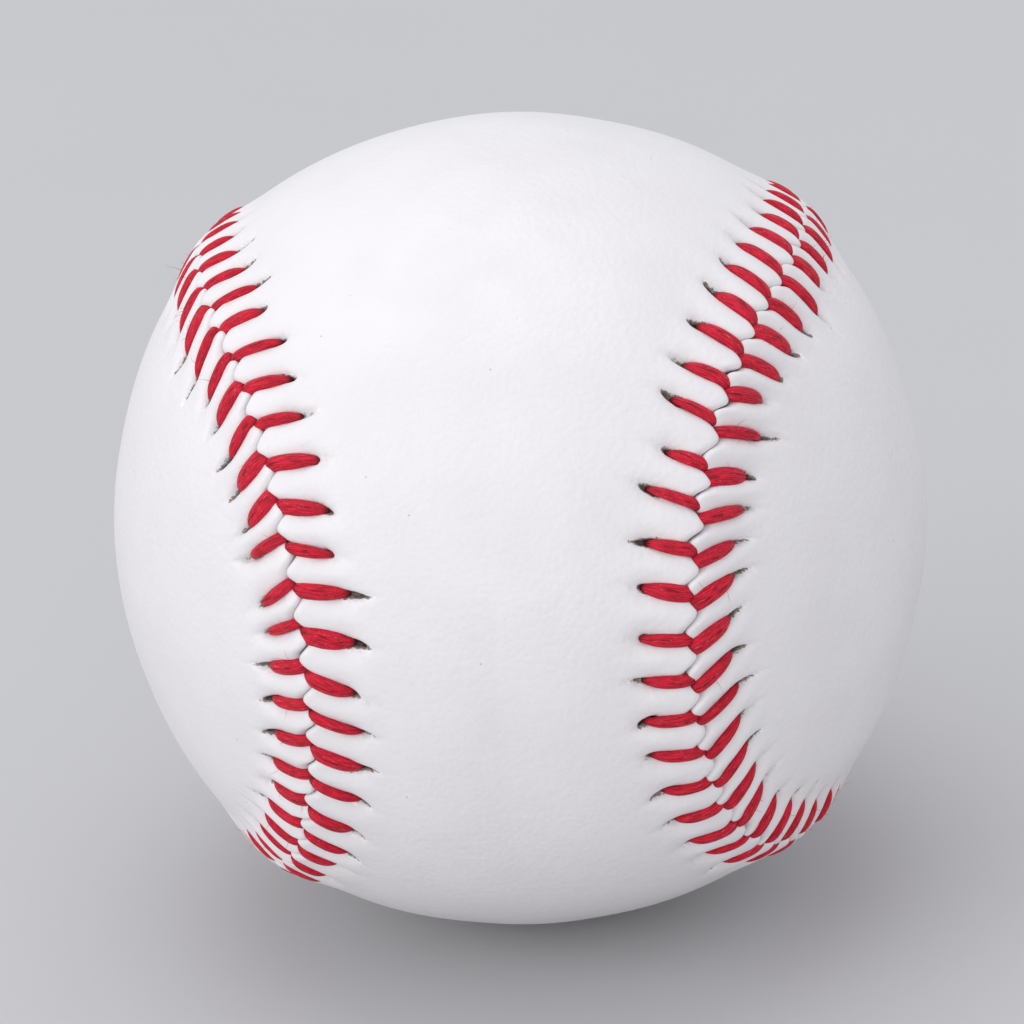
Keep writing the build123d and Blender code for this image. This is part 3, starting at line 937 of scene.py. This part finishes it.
class BASEBALL_OT_thread(bpy.types.Operator):
    """Makes the red thread, from its first stitch to its last"""
    bl_idname = "baseball.thread"
    bl_label = "Red Thread"

    def execute(self, context):
        piece = sewing_thread(*sewn_ball(), thread_finish())
        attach(piece, "root")
        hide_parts("sewing_thread")
        return {"FINISHED"}


class BASEBALL_OT_winding(bpy.types.Operator):
    """Winds the three layers of wool and the cotton over them"""
    bl_idname = "baseball.winding"
    bl_label = "Windings"

    def execute(self, context):
        winding = settings().winding
        clear = 0.05  # between a layer and the one below it
        grey = yarn_finish("Grey wool", tuple(winding.grey), 2.2)
        white = yarn_finish("White wool", tuple(winding.white), 2.2)
        cotton = yarn_finish("Finishing cotton", tuple(winding.ecru), 5.0)
        below = "red_rubber_shell"
        for node, width, flat, lay, rise, finish, slot in (
                ("grey_wool_winding_inner", winding.thick_wool, 0.4, (29, 4, 72), 1.6, grey, "grey_wool"),
                ("white_wool_winding", winding.wool, 0.4, (36, 4, 72), 0.7, white, "white_wool"),
                ("grey_wool_winding_outer", winding.wool, 0.4, (38, 4, 72), 1.2, grey, "grey_wool"),
                ("cotton_finish_winding", winding.cotton, 0.22, (57, 5, 64), 0.12, cotton, "finish_cotton")):
            inside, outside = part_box(below)[1][0] / MM + clear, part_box(node)[1][0] / MM
            piece = wound_layer(node + "_yarn", inside, outside, width / MM, flat, lay, rise, finish)
            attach(piece, "root")
            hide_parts(node)
            below = node
        return {"FINISHED"}


class BASEBALL_OT_core(bpy.types.Operator):
    """Gives the rubber shells and the cork their finishes"""
    bl_idname = "baseball.core"
    bl_label = "Core Finishes"

    def execute(self, context):
        black, red, cork = (grained_finish(*values) for values in (
            # name, light, dark, cells, mottling, roughness, bump
            ("Black rubber", (0.022, 0.022, 0.023), (0.010, 0.010, 0.011), 2200.0, 260.0, 0.62, 0.3),
            ("Red rubber", (0.32, 0.035, 0.025), (0.22, 0.022, 0.018), 2200.0, 260.0, 0.55, 0.3),
            ("Cork", (0.45, 0.27, 0.14), (0.16, 0.08, 0.04), 900.0, 700.0, 0.85, 0.6)))
        finishes = {
            "red_rubber_shell": red,
            "red_rubber_washer": red,
            "black_rubber_cup_upper": black,
            "black_rubber_cup_lower": black,
            "cork_core": cork,
        }
        for node, finish in finishes.items():
            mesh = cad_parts[node].data
            mesh.materials.clear()
            mesh.materials.append(finish)
        return {"FINISHED"}


def add_camera(scene):
    """The camera: on a line from the ball by azimuth and elevation, rolled about it and shifted across it."""
    stage = settings().stage
    shift_right, shift_up = -0.000762, 0.000538
    az, el = stage.azimuth, stage.elevation
    back = Vector((sin(az) * cos(el), -cos(az) * cos(el), sin(el)))
    level = Vector((cos(az), sin(az), 0))
    upright = Vector((-sin(az) * sin(el), cos(az) * sin(el), cos(el)))
    right = level * cos(stage.roll) - upright * sin(stage.roll)
    up = upright * cos(stage.roll) + level * sin(stage.roll)
    lens = bpy.data.cameras.new("Camera")
    lens.lens, lens.sensor_width, lens.clip_start, lens.clip_end = stage.lens, 36.0, 0.01, 50.0
    camera = bpy.data.objects.new("Camera", lens)
    turn = Matrix((right, up, back)).transposed().to_4x4()
    place = back * stage.distance + right * shift_right + up * shift_up
    camera.matrix_world = Matrix.Translation(place) @ turn
    scene.collection.objects.link(camera)
    scene.camera = camera


def add_lights(scene):
    """Three soft lamps that face the ball, in a pale world."""
    for name, place, size, power, tint in LIGHTS:
        light = bpy.data.lights.new(name, "AREA")
        light.shape, light.size, light.energy, light.color = "DISK", size, power, tint
        lamp = bpy.data.objects.new(name, light)
        lamp.location = place
        lamp.rotation_euler = (-Vector(place)).to_track_quat("-Z", "Y").to_euler()
        scene.collection.objects.link(lamp)
    world = bpy.data.worlds.new("Studio")
    world.use_nodes = True
    backdrop = world.node_tree.nodes["Background"]
    backdrop.inputs["Color"].default_value = (0.95, 0.955, 1.0, 1)
    backdrop.inputs["Strength"].default_value = 0.83
    scene.world = world
    scene.view_settings.view_transform = "Standard"


def studio_floor():
    """A plain square floor under the ball, as a grid of quads."""
    line = np.linspace(-FLOOR_REACH, FLOOR_REACH, FLOOR_POINTS)
    u, v = np.meshgrid(line, line)
    points = np.stack([u.ravel(), v.ravel(), np.full(u.size, FLOOR_LEVEL)], -1) / MM
    i = np.arange(u.size).reshape(u.shape)
    faces = np.stack([i[:-1, :-1], i[:-1, 1:], i[1:, 1:], i[1:, :-1]], -1).reshape(-1, 4).tolist()
    material, wires, shader = finish_of("Studio floor")
    tone = tuple(settings().stage.floor_colour)
    dust = wires.noise(wires.place(), 24.0, 2.0)
    wires.join(wires.mix(dust, tone, scaled(tone, 0.98)), shader.inputs["Base Color"])
    shader.inputs["Roughness"].default_value = 0.75
    return mesh_piece("studio_floor", points, faces, {}, material)


class BASEBALL_OT_stage(bpy.types.Operator):
    """Sets the camera, the soft lights and the pale floor"""
    bl_idname = "baseball.stage"
    bl_label = "Studio"

    def execute(self, context):
        add_camera(context.scene)
        add_lights(context.scene)
        floor = studio_floor()
        return {"FINISHED"}


class BASEBALL_PT_panel(bpy.types.Panel):
    """The ball's sizes, colours and pieces"""
    bl_idname = "BASEBALL_PT_panel"
    bl_label = "Sewn Baseball"
    bl_space_type = "VIEW_3D"
    bl_region_type = "UI"
    bl_category = "Baseball"

    def draw(self, context):
        ball = context.scene.baseball
        for group, operator in ((ball.cover, "baseball.cover"), (ball.sewing, "baseball.thread"),
                                (ball.winding, "baseball.winding"), (ball.stage, "baseball.stage")):
            box = self.layout.box()
            for key in group.__annotations__:
                box.prop(group, key)
            box.operator(operator)
        self.layout.operator("baseball.core")


CLASSES = (
    CoverSizes, SewingSizes, WindingSizes, StageSizes, BaseballSettings, BASEBALL_OT_cover,
    BASEBALL_OT_thread, BASEBALL_OT_winding, BASEBALL_OT_core, BASEBALL_OT_stage, BASEBALL_PT_panel)


def register():
    for kind in CLASSES:
        bpy.utils.register_class(kind)
    bpy.types.Scene.baseball = bpy.props.PointerProperty(type=BaseballSettings)


def unregister():
    del bpy.types.Scene.baseball
    for kind in reversed(CLASSES):
        bpy.utils.unregister_class(kind)


def main():
    register()
    bpy.ops.baseball.stage()
    bpy.ops.baseball.cover()
    bpy.ops.baseball.thread()
    bpy.ops.baseball.winding()
    bpy.ops.baseball.core()


if __name__ == "__main__":
    main()
